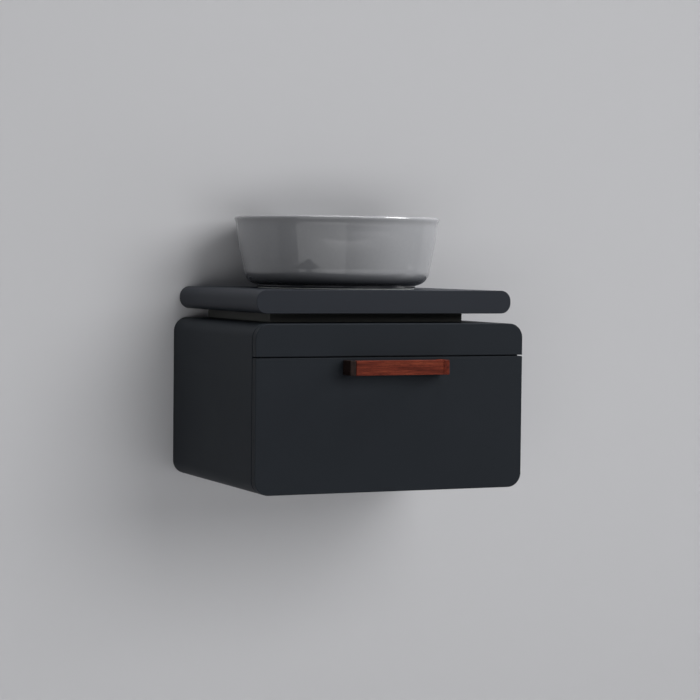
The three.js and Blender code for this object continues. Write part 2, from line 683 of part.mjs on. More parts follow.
function buildHandle() {
  const barMiddle = frontFace - handleProjection + handleBarThickness / 2;
  const barLength = handleLength - 2 * handleLegWidth - 2 * fit;
  const bar = alongX(easedSection(handleBarThickness, handleHeight), barLength, 3);
  place('handle_bar', bar, redWood, [0, barMiddle, handleMiddle]);

  const legFront = frontFace - handleProjection;
  const legBack = frontFace - fit;
  const holeEnd = frontFace - screwGrip - 1;
  const holeRadius = screwRadius + screwClearance;
  for (const [side, sign] of [['left', -1], ['right', 1]]) {
    const leg = toSolid(alongY(easedSection(handleLegWidth, handleHeight), legFront, legBack, 3));
    const hole = turnedAboutY([[0, holeEnd], [holeRadius, holeEnd], [holeRadius, 0], [0, 0]], 16);
    place(`handle_leg_${side}`, toGeometry(leg.subtract(toSolid(hole))), redWood,
      [sign * legCentre, 0, handleMiddle]);
    const headFront = frontBack + fit;
    const screw = [
      [0, frontFace - screwGrip], [screwRadius, frontFace - screwGrip], [screwRadius, headFront],
      [screwHeadRadius, headFront], [screwHeadRadius, headFront + screwHeadHeight - 1],
      [screwHeadRadius - 1, headFront + screwHeadHeight], [0, headFront + screwHeadHeight],
    ];
    place(`handle_screw_${side}`, turnedAboutY(screw, 16), zincSteel, [sign * legCentre, 0, handleMiddle]);
  }
}

buildSidePanels();
buildCornerPosts();
buildTopAndBottom();
buildRails();
buildFascia();
buildSpacer();
buildCounter();
buildBasin();
buildWaste();
buildPlugGuide();
buildPlug();
buildTrap();
buildWallRail();
buildHangers();
buildRunners();
buildDrawerBox();
buildDrawerFront();
buildBumpers();
buildHandle();

pieces.position.z = -railMiddle;
const vanity = new THREE.Group();
vanity.add(pieces);

export default vanity;
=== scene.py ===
# %% [markdown]
# # A vessel sink on a wall-hung vanity
# The CAD model already holds every part at its true size and place, in metres, with +Z up and the wall
# at Y = 0. This lesson dresses it. It rebuilds what the eye rests on (the lacquered case, the slab, the
# glazed bowl, the wooden handle) with softer edges and smoother curves, eases the edges of the fittings
# inside, and gives every piece a finish. Nothing is moved, because the same model is also used for motion.

# %% Load the frame
import json
import math

import bmesh
import bpy
from mathutils import Matrix, Vector

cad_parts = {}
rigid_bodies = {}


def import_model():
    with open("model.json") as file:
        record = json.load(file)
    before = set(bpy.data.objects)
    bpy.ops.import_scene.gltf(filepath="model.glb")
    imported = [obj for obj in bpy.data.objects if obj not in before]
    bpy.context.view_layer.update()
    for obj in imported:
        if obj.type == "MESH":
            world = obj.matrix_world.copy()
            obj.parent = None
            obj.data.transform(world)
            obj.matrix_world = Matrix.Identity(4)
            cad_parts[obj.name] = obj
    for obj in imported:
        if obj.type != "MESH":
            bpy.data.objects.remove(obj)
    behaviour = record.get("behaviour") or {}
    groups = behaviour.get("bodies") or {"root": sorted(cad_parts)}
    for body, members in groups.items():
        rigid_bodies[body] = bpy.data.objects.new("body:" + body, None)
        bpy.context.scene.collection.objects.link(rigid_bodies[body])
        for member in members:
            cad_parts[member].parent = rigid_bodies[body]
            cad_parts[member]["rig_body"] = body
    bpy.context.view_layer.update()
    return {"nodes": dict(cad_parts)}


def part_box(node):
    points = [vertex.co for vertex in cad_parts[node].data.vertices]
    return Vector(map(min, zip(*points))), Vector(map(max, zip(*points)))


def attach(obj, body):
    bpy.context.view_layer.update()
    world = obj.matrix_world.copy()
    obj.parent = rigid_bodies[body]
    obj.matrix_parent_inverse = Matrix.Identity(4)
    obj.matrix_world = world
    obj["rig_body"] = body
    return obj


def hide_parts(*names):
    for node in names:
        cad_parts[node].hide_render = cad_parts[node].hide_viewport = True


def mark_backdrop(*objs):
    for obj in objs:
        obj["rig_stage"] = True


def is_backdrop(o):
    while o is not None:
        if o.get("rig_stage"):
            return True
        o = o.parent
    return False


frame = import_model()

scene = bpy.context.scene
scene.view_settings.view_transform = "Standard"
MM = 0.001


# %% [markdown]
# ## The camera
# A product like this is best seen from a few metres away through a long lens, a little above the top of
# the case and to its left. The long lens keeps upright lines upright and hardly narrows the far end.
# The camera is placed by its distance and three small turns, which is easier to read than a matrix.

# %% Camera
LENS = 111.2  # mm, on a 36 mm wide sensor
CAMERA_PLACE = Vector((-1.8771, -4.4785, 0.1857))
YAW, PITCH, ROLL = math.radians(24.067), math.radians(2.3905), math.radians(0.600)

ahead = Vector((math.sin(YAW), math.cos(YAW), 0))
aside = Vector((math.cos(YAW), -math.sin(YAW), 0))
up = Vector((0, 0, 1))
view_line = ahead * math.cos(PITCH) - up * math.sin(PITCH)
view_up = up * math.cos(PITCH) + ahead * math.sin(PITCH)
image_right = aside * math.cos(ROLL) + view_up * math.sin(ROLL)
image_up = view_up * math.cos(ROLL) - aside * math.sin(ROLL)

camera = bpy.data.objects.new("camera", bpy.data.cameras.new("camera"))
camera.data.lens = LENS
camera.data.sensor_width = 36
camera.data.clip_start = 0.05
turn = Matrix((image_right, image_up, -view_line)).transposed()
camera.matrix_world = Matrix.Translation(CAMERA_PLACE) @ turn.to_4x4()
scene.collection.objects.link(camera)
scene.camera = camera
print("camera stands", round(CAMERA_PLACE.length, 2), "m away")


# %% [markdown]
# ## Colours
# Colours are given as sRGB hex codes, which space their steps evenly for the eye. A renderer adds
# light in linear values, where half as much light is half the number, so one function converts them.

# %% Colour
def linear(hex_colour):
    """An sRGB hex colour as linear RGBA."""
    channels = [int(hex_colour[i:i + 2], 16) / 255 for i in (1, 3, 5)]
    curve = [c / 12.92 if c <= 0.04045 else ((c + 0.055) / 1.055) ** 2.4 for c in channels]
    return (*curve, 1.0)


print("a mid grey, #808080, is", round(linear("#808080")[0], 3), "in linear values")


# %% [markdown]
# ## Building a material
# A material is a small tree of shader nodes. Rather than a helper for each kind of node, one function adds
# any node: lower-case names are the node's own settings, and names with a capital letter are its input
# sockets. A second function starts a material with one Principled surface, which suits every finish here.

# %% Nodes
def add(tree, kind, settings=(), links=()):
    """Add a shader node, set it, and link its sockets."""
    node = tree.nodes.new("ShaderNode" + kind)
    for name, value in dict(settings).items():
        if isinstance(name, str) and name[0].islower():
            setattr(node, name, value)
        else:
            node.inputs[name].default_value = value
    for socket, source in dict(links).items():
        tree.links.new(source, node.inputs[socket])
    return node


def finish_of(name, settings):
    """A new material with one Principled surface: returns the material, its tree and the surface."""
    material = bpy.data.materials.new(name)
    material.use_nodes = True
    tree = material.node_tree
    tree.nodes.clear()
    surface = add(tree, "BsdfPrincipled", settings)
    add(tree, "OutputMaterial", links={"Surface": surface.outputs["BSDF"]})
    return material, tree, surface


# %% [markdown]
# ## Patterns in millimetres
# Nothing real has one flat colour. Each finish below is varied by a pattern whose scale is worked out from
# a size that can be measured on the real thing, such as the width of a pore or of a thread. The patterns
# use object coordinates, which are in metres here, so they run on over every face of a piece.

# %% Patterns
def per_mm(size):
    """The texture scale that gives features of this size, in mm, on coordinates in metres."""
    return 1 / (size * MM)


def position(tree, stretch=(1, 1, 1)):
    """Object coordinates in metres, each axis multiplied by its stretch."""
    place = add(tree, "TexCoord")
    spread = add(tree, "Mapping", {"Scale": stretch}, {"Vector": place.outputs["Object"]})
    return spread.outputs["Vector"]


def between(tree, amount, low, high):
    """A number that runs from low to high as amount runs from 0 to 1."""
    return add(tree, "MapRange", {"To Min": low, "To Max": high}, {"Value": amount}).outputs["Result"]


def blend_colours(tree, amount, first, second):
    """A colour between two others, by amount."""
    mix = add(tree, "Mix", {"data_type": "RGBA", 6: linear(first), 7: linear(second)}, {0: amount})
    return mix.outputs[2]


def relief(tree, surface, height, depth, strength):
    """Emboss a height pattern into the surface: depth is in mm."""
    bump = add(tree, "Bump", {"Strength": strength, "Distance": depth * MM}, {"Height": height})
    tree.links.new(bump.outputs["Normal"], surface.inputs["Normal"])


print("a pattern of 2.6 mm has a scale of", round(per_mm(2.6)))


# %% [markdown]
# ## Sprayed lacquer
# The case and the slab are MDF sprayed with a two-pack lacquer, charcoal on the case and slate on the
# slab, and the spacer between them is painted matt black; its colour here is set to a mid grey, as painted
# light for the shaded gap it sits in. Spraying leaves a very faint orange peel, waves of two to three
# millimetres, and the tone and the sheen drift a little from patch to patch. Lacquers as matt as these
# scatter most of what they would mirror, so their specular level is set low.

# %% Lacquer
def sprayed_lacquer(name, colour, deeper, roughness, mirror):
    """Sprayed two-pack lacquer: orange peel, and a slow drift in tone and sheen."""
    settings = {"IOR": 1.5, "Roughness": roughness, "Specular IOR Level": mirror}
    material, tree, surface = finish_of(name, settings)
    peel = add(tree, "TexNoise", {"Scale": per_mm(2.6), "Detail": 2}, {"Vector": position(tree)})
    drift = add(tree, "TexNoise", {"Scale": per_mm(160), "Detail": 3}, {"Vector": position(tree)})
    tone = blend_colours(tree, drift.outputs["Fac"], deeper, colour)
    tree.links.new(tone, surface.inputs["Base Color"])
    sheen = between(tree, drift.outputs["Fac"], roughness - 0.06, roughness + 0.06)
    tree.links.new(sheen, surface.inputs["Roughness"])
    relief(tree, surface, peel.outputs["Fac"], 0.02, 0.35)
    return material


case_lacquer = sprayed_lacquer("satin_charcoal_lacquer", "#292C31", "#262A2E", 0.46, 0.04)
slab_lacquer = sprayed_lacquer("satin_slate_lacquer", "#2E3137", "#2B2E34", 0.44, 0.08)
# The spacer is matt black, but its colour is a mid grey here: painted light for its shaded gap.
spacer_paint_with_painted_light = sprayed_lacquer("matt_black_paint_lightened_as_painted_light", "#626361", "#5A5B59", 0.7, 0.2)
print("lacquers made, with orange peel of 2.6 mm")


# %% [markdown]
# ## Glazed stoneware
# The bowl is fired stoneware under a pearl-grey glaze. A glaze is a thin layer of glass, so it mirrors
# the room sharply, and it pools: tiny differences in thickness make its surface swell over a centimetre
# or two. The colour of the body shows through with a soft mottling. Round the lower turn the colour is
# darkened towards the foot, which the height picks out: painted shade and a painted reflection of the slab.

# %% Glaze
def pearl_glaze():
    settings = {"IOR": 1.55, "Roughness": 0.07}
    material, tree, surface = finish_of("pearl_grey_glaze", settings)
    swell = add(tree, "TexNoise", {"Scale": per_mm(18), "Detail": 1}, {"Vector": position(tree)})
    mottle = add(tree, "TexNoise", {"Scale": per_mm(6), "Detail": 4}, {"Vector": position(tree)})
    tone = blend_colours(tree, mottle.outputs["Fac"], "#7E7F82", "#838486")
    height = add(tree, "SeparateXYZ", links={"Vector": position(tree)}).outputs["Z"]
    stands_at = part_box("basin")[0].z
    # The painted shade near the foot is darkest at the first of these heights and gone by the second.
    thick, thin = stands_at + 4 * MM, stands_at + 46 * MM
    rise = add(tree, "MapRange", {"interpolation_type": "SMOOTHSTEP", "From Min": thick, "From Max": thin},
               {"Value": height})
    # Towards the foot the colour turns dark grey: painted shade and a painted reflection of the slab.
    painted_shade_near_foot = add(tree, "Mix", {"data_type": "RGBA", 6: linear("#34363B")},
                   {0: rise.outputs["Result"], 7: tone})
    tree.links.new(painted_shade_near_foot.outputs[2], surface.inputs["Base Color"])
    gloss = between(tree, mottle.outputs["Fac"], 0.05, 0.10)
    tree.links.new(gloss, surface.inputs["Roughness"])
    relief(tree, surface, swell.outputs["Fac"], 0.05, 0.12)
    return material


glaze = pearl_glaze()
print("glaze made, with a swell of 18 mm and a mottle of 6 mm")


# %% [markdown]
# ## Oiled red wood
# The handle is a dense red hardwood, oiled and not varnished. Its grain runs along each stick: long dark
# streaks one or two millimetres wide, broad bands of lighter and deeper red, and pores a few tenths of a
# millimetre wide that are drawn a little coarser here so that they show. Turning the stretch of the
# pattern turns the grain, and where a stick is cut across, the same pattern shows end grain by itself.

# %% Red wood
def oiled_red_wood(name, along, colours):
    """Oiled hardwood whose grain runs along one axis: 0 for X, 1 for Y."""
    material, tree, surface = finish_of(name, {"IOR": 1.47, "Roughness": 0.44, "Specular IOR Level": 0.08})

    def stretched(length, width):
        sizes = [width, width, width]
        sizes[along] = length
        return position(tree, [per_mm(size) for size in sizes])

    bands = add(tree, "TexNoise", {"Scale": 1, "Detail": 3}, {"Vector": stretched(90, 9)})
    streaks = add(tree, "TexNoise", {"Scale": 1, "Detail": 4}, {"Vector": stretched(28, 1.6)})
    pores = add(tree, "TexNoise", {"Scale": 1, "Detail": 2}, {"Vector": stretched(7, 0.7)})
    deep, main, light, pore = colours
    ramp = add(tree, "ValToRGB", links={"Fac": bands.outputs["Fac"]})
    ramp.color_ramp.elements[0].position = 0.30
    ramp.color_ramp.elements[0].color = linear(deep)
    ramp.color_ramp.elements[1].position = 0.72
    ramp.color_ramp.elements[1].color = linear(light)
    ramp.color_ramp.elements.new(0.5).color = linear(main)
    streak = add(tree, "MapRange", {"From Min": 0.42, "From Max": 0.66, "To Min": 0.0, "To Max": 0.75},
                 {"Value": streaks.outputs["Fac"]})
    body = add(tree, "Mix", {"data_type": "RGBA", 7: linear(deep)},
               {0: streak.outputs["Result"], 6: ramp.outputs["Color"]})
    pit = add(tree, "MapRange", {"From Min": 0.60, "From Max": 0.68, "To Min": 0.0, "To Max": 0.8},
              {"Value": pores.outputs["Fac"]})
    wood = add(tree, "Mix", {"data_type": "RGBA", 7: linear(pore)},
               {0: pit.outputs["Result"], 6: body.outputs[2]})
    tree.links.new(wood.outputs[2], surface.inputs["Base Color"])
    sheen = between(tree, streaks.outputs["Fac"], 0.34, 0.5)
    tree.links.new(sheen, surface.inputs["Roughness"])
    height = add(tree, "Math", {"operation": "SUBTRACT"},
                 {0: streaks.outputs["Fac"], 1: pit.outputs["Result"]})
    relief(tree, surface, height.outputs["Value"], 0.12, 0.5)
    return material


bar_wood = oiled_red_wood("oiled_red_wood_bar", 0, ("#4A1B11", "#702F20", "#8D432D", "#2A0F09"))
# The left leg gets a much darker copy of the same wood: painted shade.
shaded_leg_wood_painted_shade = oiled_red_wood("oiled_red_wood_painted_shade", 1, ("#1F1614", "#281D1A", "#332420", "#150E0C"))
leg_wood = oiled_red_wood("oiled_red_end_grain", 1, ("#43180E", "#66281B", "#7C3523", "#260D08"))
print("woods made, with streaks of 1.6 mm and pores of 0.7 mm")


# %% [markdown]
# ## Chrome
# The waste and the trap are brass plated with nickel and chromium and polished. Bare chromium is a little
# darker than silver and slightly blue. Wiping leaves a haze of fine marks, which only changes how sharply
# the metal mirrors, so the marks go into the roughness and not into the colour.

# %% Chrome
def polished_chrome():
    settings = {"Base Color": linear("#C9CBCE"), "Metallic": 1, "Roughness": 0.08}
    material, tree, surface = finish_of("polished_chrome", settings)
    wiping = add(tree, "TexNoise", {"Scale": 1, "Detail": 5},
                 {"Vector": position(tree, (per_mm(14), per_mm(14), per_mm(1.2)))})
    haze = between(tree, wiping.outputs["Fac"], 0.04, 0.16)
    tree.links.new(haze, surface.inputs["Roughness"])
    return material


chrome = polished_chrome()
print("chrome made, with wiping marks of 1.2 mm")


# %% [markdown]
# ## Zinc-plated steel
# The runners, the hangers and the wall rail are pressed from sheet steel and plated with zinc. Zinc grows
# in crystals, a spangle of a few millimetres in which each one has its own grey, and rolling the sheet
# has drawn fine lines along its length, here along Y, the way that the runners lie.

# %% Zinc-plated steel
def zinc_plated_steel():
    settings = {"Base Color": linear("#9FA5AA"), "Metallic": 1, "Roughness": 0.36}
    material, tree, surface = finish_of("zinc_plated_steel", settings)
    spangle = add(tree, "TexVoronoi", {"Scale": per_mm(5)}, {"Vector": position(tree)})
    rolling = add(tree, "TexNoise", {"Scale": 1, "Detail": 4},
                  {"Vector": position(tree, (per_mm(0.8), per_mm(40), per_mm(0.8)))})
    tone = blend_colours(tree, spangle.outputs["Color"], "#8F959B", "#AAB0B5")
    tree.links.new(tone, surface.inputs["Base Color"])
    sheen = between(tree, rolling.outputs["Fac"], 0.26, 0.48)
    tree.links.new(sheen, surface.inputs["Roughness"])
    relief(tree, surface, rolling.outputs["Fac"], 0.01, 0.3)
    return material


zinc_steel = zinc_plated_steel()
print("zinc made, with a spangle of 5 mm")


# %% [markdown]
# ## Board for the drawer and the case
# The drawer box is board faced with a printed paper that looks like linen. Its weave is crossed waves in
# all three directions, so every face shows two of them, and it is drawn coarse so that it shows. The
# rails in the case are plain melamine board, whose pearl texture comes from the plate that pressed it.

# %% Boards
def woven_print_board():
    """Drawer board faced with a linen print. A wave repeats every 2 pi / 20 of its unit, so every 5.7 mm."""
    material, tree, surface = finish_of("linen_print_board", {"IOR": 1.5, "Roughness": 0.5})
    weave = []
    for direction in ("X", "Y", "Z"):
        wave = add(tree, "TexWave", {"bands_direction": direction, "Scale": per_mm(0.9) / 20,
                                     "Distortion": 2.5, "Detail": 2, "Detail Scale": 1.5},
                   {"Vector": position(tree)})
        weave.append(wave.outputs["Fac"])
    crossed = add(tree, "Math", {"operation": "ADD"}, {0: weave[0], 1: weave[1]})
    linen = add(tree, "Math", {"operation": "ADD"}, {0: crossed.outputs["Value"], 1: weave[2]})
    amount = add(tree, "MapRange", {"From Max": 3}, {"Value": linen.outputs["Value"]})
    tone = blend_colours(tree, amount.outputs["Result"], "#77736C", "#8D8981")
    tree.links.new(tone, surface.inputs["Base Color"])
    relief(tree, surface, amount.outputs["Result"], 0.06, 0.5)
    return material


def melamine_board():
    """Anthracite melamine with the shallow pearl texture of the press plate."""
    material, tree, surface = finish_of("anthracite_melamine", {"IOR": 1.5, "Roughness": 0.45})
    pearl = add(tree, "TexNoise", {"Scale": per_mm(0.9), "Detail": 1}, {"Vector": position(tree)})
    tone = blend_colours(tree, pearl.outputs["Fac"], "#3A3C40", "#44464A")
    tree.links.new(tone, surface.inputs["Base Color"])
    relief(tree, surface, pearl.outputs["Fac"], 0.05, 0.5)
    return material


drawer_board = woven_print_board()
melamine = melamine_board()
print("boards made, with a weave of 5.7 mm and pearls of 0.9 mm")


# %% [markdown]
# ## Silicone, rubber and plastic
# The bead under the bowl is silicone, the gaskets and bumpers are rubber, and the guide of the plug is
# moulded plastic. What tells them apart is their colour, how far they shine, and the grain of the mould.

# %% Moulded materials
def moulded(name, colour, shade, roughness, grain):
    """A moulded rubber or plastic with a fine grain from its mould."""
    material, tree, surface = finish_of(name, {"IOR": 1.46, "Roughness": roughness})
    mould = add(tree, "TexNoise", {"Scale": per_mm(grain), "Detail": 2}, {"Vector": position(tree)})
    tone = blend_colours(tree, mould.outputs["Fac"], shade, colour)
    tree.links.new(tone, surface.inputs["Base Color"])
    relief(tree, surface, mould.outputs["Fac"], 0.03, 0.4)
    return material


silicone = moulded("clear_silicone", "#C9CCCB", "#B4B8B7", 0.35, 3)
rubber = moulded("black_rubber", "#1B1B1C", "#121213", 0.7, 0.6)
plastic = moulded("white_polypropylene", "#E6E6E2", "#D8D8D3", 0.4, 1.2)
print("moulded materials made:", silicone.name, rubber.name, plastic.name)


# %% [markdown]
# ## Which part gets which finish
# The CAD model says what each node is made of, as the name of a slot. This table gives each slot its
# finish, so that a part that is only copied gets the right one without being named here.

# %% Finishes by slot
finishes = {
    "lacquer": case_lacquer, "counter_lacquer": slab_lacquer, "black_spacer": spacer_paint_with_painted_light,
    "melamine": melamine, "drawer_board": drawer_board, "glazed_ceramic": glaze, "chrome": chrome,
    "silicone": silicone, "black_rubber": rubber, "white_plastic": plastic, "zinc_steel": zinc_steel,
    "red_wood": bar_wood,
}
slot_of = {name: node.data.materials[0].name.split(".")[0] for name, node in frame["nodes"].items()}
print("finishes:", len(finishes), "| slots in use:", len(set(slot_of.values())))


# %% [markdown]
# ## Giving a piece its edges, finish and place
# Real edges are never knife sharp: a lacquered arris is sanded to a millimetre or so, and the thin line of
# light along it is what makes a board look solid. A bevel modifier does that on every sharp edge, and it
# stays editable. `hang` then gives a piece its finish, lets it ride on the body that moves it, and hides
# the CAD nodes that it stands for.

# %% Hanging a piece
def body_of(node):
    return frame["nodes"][node]["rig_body"]


def make_object(name, bm):
    mesh = bpy.data.meshes.new(name)
    bmesh.ops.recalc_face_normals(bm, faces=bm.faces)
    bm.to_mesh(mesh)
    bm.free()
    piece = bpy.data.objects.new(name, mesh)
    scene.collection.objects.link(piece)
    return piece


def ease_edges(piece, width, segments=3, angle=40):
    """Round every edge sharper than the angle, and shade the rest smooth. The width is in mm."""
    bevel = piece.modifiers.new("eased_edges", "BEVEL")
    bevel.width = width * MM
    bevel.segments = segments
    bevel.limit_method = "ANGLE"
    bevel.angle_limit = math.radians(angle)
    bevel.harden_normals = True
    piece.data.shade_smooth()
    return piece


def hang(piece, finish, *nodes):
    """Give a piece its finish and its body, and hide the CAD nodes it stands for."""
    piece.data.materials.clear()
    piece.data.materials.append(finish)
    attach(piece, body_of(nodes[0]))
    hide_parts(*nodes)
    return piece


print("the drawer front rides on", body_of("drawer_front"))


# %% [markdown]
# ## Boards as pushed outlines
# Every board here, the case and the slab too, keeps one outline from front to back. So each is drawn as an
# outline with arcs at its corners and pushed straight back, as a saw or a moulder would make it. With a
# second outline inside the first the same function makes a tube.

# %% Outlines and prisms
def arc_outline(low, high, radii, steps=12):
    """Rectangle in X and Z with rounded corners: radii run bottom left, bottom right, top right, top left."""
    (x0, z0), (x1, z1) = low, high
    corners = [(x0, z0, 1, 1, 180), (x1, z0, -1, 1, 270), (x1, z1, -1, -1, 0), (x0, z1, 1, -1, 90)]
    points = []
    for (x, z, toward_x, toward_z, start), radius in zip(corners, radii):
        if radius == 0:
            points.append((x, z))
            continue
        centre = (x + toward_x * radius, z + toward_z * radius)
        for step in range(steps + 1):
            angle = math.radians(start + 90 * step / steps)
            points.append((centre[0] + radius * math.cos(angle), centre[1] + radius * math.sin(angle)))
    return points


def prism(name, outline, front, back, inner=None):
    """Push an outline in X and Z from one Y to another; a second outline of as many points makes a tube."""
    bm = bmesh.new()

    def ring(points, y):
        return [bm.verts.new((x, y, z)) for x, z in points]

    def band(first, second):
        for i in range(len(first)):
            j = (i + 1) % len(first)
            bm.faces.new((first[i], first[j], second[j], second[i]))

    near, far = ring(outline, front), ring(outline, back)
    band(near, far)
    if inner:
        inner_near, inner_far = ring(inner, front), ring(inner, back)
        band(inner_near, inner_far)
        band(near, inner_near)
        band(far, inner_far)
    else:
        bm.faces.new(near)
        bm.faces.new(far)
    return make_object(name, bm)


print("a rounded corner has", len(arc_outline((0, 0), (1, 1), [0.1, 0, 0, 0])) - 3, "points")


# %% [markdown]
# ## Turned pieces and drilled holes
# The bowl, the waste and its plug are round about an upright axis, so each is one profile that is turned.
# A turned cylinder is also the tool for round holes: a boolean modifier subtracts it, and the result is
# settled into plain mesh, so that the bevel that comes later rounds the edge of the hole as well.

# %% Turning and drilling
def turned(name, profile, centre, segments):
    """Turn a profile of (radius, height) points about an upright axis."""
    bm = bmesh.new()
    rings = []
    for radius, height in profile:
        if radius == 0:
            rings.append([bm.verts.new((0, 0, height))] * segments)
            continue
        angles = [2 * math.pi * i / segments for i in range(segments)]
        rings.append([bm.verts.new((radius * math.cos(a), radius * math.sin(a), height)) for a in angles])
    for lower, upper in zip(rings, rings[1:]):
        for i in range(segments):
            j = (i + 1) % segments
            corners = list(dict.fromkeys((lower[i], lower[j], upper[j], upper[i])))
            if len(corners) > 2:
                bm.faces.new(corners)
    if profile[0] == profile[-1]:
        bmesh.ops.remove_doubles(bm, verts=bm.verts, dist=1e-7)
    bmesh.ops.translate(bm, verts=bm.verts, vec=centre)
    return make_object(name, bm)


def settle(piece):
    """Turn the modifiers into plain mesh."""
    bpy.context.view_layer.update()
    solid = piece.evaluated_get(bpy.context.evaluated_depsgraph_get())
    mesh = bpy.data.meshes.new_from_object(solid)
    piece.modifiers.clear()
    piece.data = mesh
    return piece


def drill(piece, centre, radius, low, high, segments):
    """Cut an upright round hole through a piece that lies between two heights."""
    past = 20 * MM
    profile = [(0, low - past), (radius, low - past), (radius, high + past), (0, high + past)]
    tool = turned("hole_tool", profile, centre, segments)
    cut = piece.modifiers.new("hole", "BOOLEAN")
    cut.object = tool
    cut.operation = "DIFFERENCE"
    cut.solver = "EXACT"
    settle(piece)
    bpy.data.objects.remove(tool)
    return piece


basin_low, basin_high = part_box("basin")
bowl_x, bowl_y = (basin_low.x + basin_high.x) / 2, (basin_low.y + basin_high.y) / 2
print(f"the bowl and its waste turn about x {1000 * bowl_x:.0f}, y {1000 * bowl_y:.0f} mm")


# %% [markdown]
# ## The case
# The case is one lacquered box with long rounded corners that run from the front to the wall. In the CAD
# model it is eight boards and posts; on the real one the joints vanish under the lacquer, so here it is
# one tube: an outer outline and an inner one, a board's thickness apart, joined front and back. A round
# opening in its top lets the waste through. Its arrises are eased by a millimetre.

# %% Case
SERVICE_HOLE = 60 * MM  # radius
CASE_ARRIS = 1.0
case_nodes = ["side_panel_left", "side_panel_right", "top_panel", "bottom_panel"]
case_nodes += [f"corner_post_{level}_{side}" for level in ("top", "bottom") for side in ("left", "right")]
left_low, left_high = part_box("side_panel_left")
top_low, top_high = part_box("top_panel")
bottom_low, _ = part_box("bottom_panel")
post_low, post_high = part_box("corner_post_top_left")
corner = post_high.x - post_low.x
panel = left_high.x - left_low.x

outer = arc_outline((left_low.x, bottom_low.z), (-left_low.x, top_high.z), [corner] * 4)
inner = arc_outline((left_high.x, bottom_low.z + panel), (-left_high.x, top_high.z - panel),
                    [corner - panel] * 4)
case = prism("case_shell", outer, left_low.y, left_high.y, inner)
drill(case, (bowl_x, bowl_y, 0), SERVICE_HOLE, top_low.z, top_high.z, 64)
hang(ease_edges(case, CASE_ARRIS), case_lacquer, *case_nodes)
print(f"case {-2000 * left_high.x:.0f} mm inside, walls {1000 * panel:.0f}, corners {1000 * corner:.0f} mm")


# %% [markdown]
# ## The fronts
# The fascia is fixed and the big front below it is the face of the drawer. Together they repeat the
# outline of the case, so the fascia is rounded at its upper corners and the drawer front at its lower
# ones. Their front arrises are eased a little more than the case, and they catch a thin line of light.

# %% Fascia and drawer front
FRONT_ARRIS = 1.4


def front_board(name, node, radii):
    low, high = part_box(node)
    outline = arc_outline((low.x, low.z), (high.x, high.z), radii, 14)
    board = prism(name, outline, low.y, high.y)
    return hang(ease_edges(board, FRONT_ARRIS, 4), case_lacquer, node)


fascia = front_board("front_fascia_board", "front_fascia", [0, 0, corner, corner])
front_board("drawer_front_board", "drawer_front", [corner, corner, 0, 0])
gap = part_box("front_fascia")[0].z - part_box("drawer_front")[1].z
print(f"fronts {1000 * (fascia.dimensions.y):.1f} mm thick, {1000 * gap:.1f} mm apart")


# %% [markdown]
# ## The slab
# The slab is 48 mm thick and its two ends are rounded almost to half circles, while its front and back
# faces are cut square. It is the same kind of solid as the case: an outline with arcs, pushed back.

# %% Slab
slab_low, slab_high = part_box("countertop")
SLAB_END = 22 * MM
SLAB_ARRIS = 1.2
WASTE_HOLE = 25 * MM  # radius
slab_outline = arc_outline((slab_low.x, slab_low.z), (slab_high.x, slab_high.z), [SLAB_END] * 4, 16)
slab = prism("counter_slab", slab_outline, slab_low.y, slab_high.y)
drill(slab, (bowl_x, bowl_y, 0), WASTE_HOLE, slab_low.z, slab_high.z, 48)
hang(ease_edges(slab, SLAB_ARRIS), slab_lacquer, "countertop")
print(f"slab {1000 * slab.dimensions.x:.0f} x {1000 * slab.dimensions.y:.0f} mm")


# %% [markdown]
# ## The bowl
# A vessel bowl like this is cast in a plaster mould and glazed. Its outside flares in a slow curve from
# the waist to a small lip at the rim, turns in tightly below, and stands on a narrow foot. Turning one
# profile about its axis is the natural way to make it. The profile runs from the waste hole along the
# underside, round the foot, up the outside, over the rim, down the inside and back to the hole.

# %% Sizes of the bowl
bowl_height = basin_high.z - basin_low.z
RIM, WAIST, FOOT, FOOT_WIDTH = 220 * MM, 200 * MM, 170 * MM, 14 * MM
LIP_FLARE, LIP_HEIGHT = 4 * MM, 16 * MM
WALL, FOOT_RISE, TURN, FLOOR = 10 * MM, 6 * MM, 38 * MM, 13 * MM
FLOOR_FALL, INNER_TURN, FOOT_ARRIS = 7 * MM, 46 * MM, 1.5 * MM
DRAIN, SEAT, DRAIN_CHAMFER = 23.5 * MM, 35 * MM, 1 * MM


def outer_radius(height):
    """Radius of the bowl's outside at a height above its foot."""
    if height >= TURN:
        rise = (height - TURN) / (bowl_height - TURN)
        lip_rise = max(0, height - (bowl_height - WALL / 2 - LIP_HEIGHT)) / LIP_HEIGHT
        slack = RIM - LIP_FLARE - WAIST
        return WAIST + slack * math.sin(rise * math.pi / 2) + LIP_FLARE * lip_rise ** 2
    drop = 1 - (height - FOOT_RISE) / (TURN - FOOT_RISE)
    curl = (1 - math.sqrt(1 - 0.98 * drop * drop)) / 0.86  # 0 at the waist, about 1 at the foot
    return WAIST - (WAIST - FOOT - 2 * MM) * curl


print(f"radius {1000 * outer_radius(0.5 * bowl_height):.0f} mm half way up, {1000 * RIM:.0f} mm at the rim")


# %% Bowl
def arc(centre, radius, start, end, steps):
    """Points of an arc in a profile, angles in degrees."""
    angles = [math.radians(start + (end - start) * i / steps) for i in range(steps + 1)]
    return [(centre[0] + radius * math.cos(a), centre[1] + radius * math.sin(a)) for a in angles]


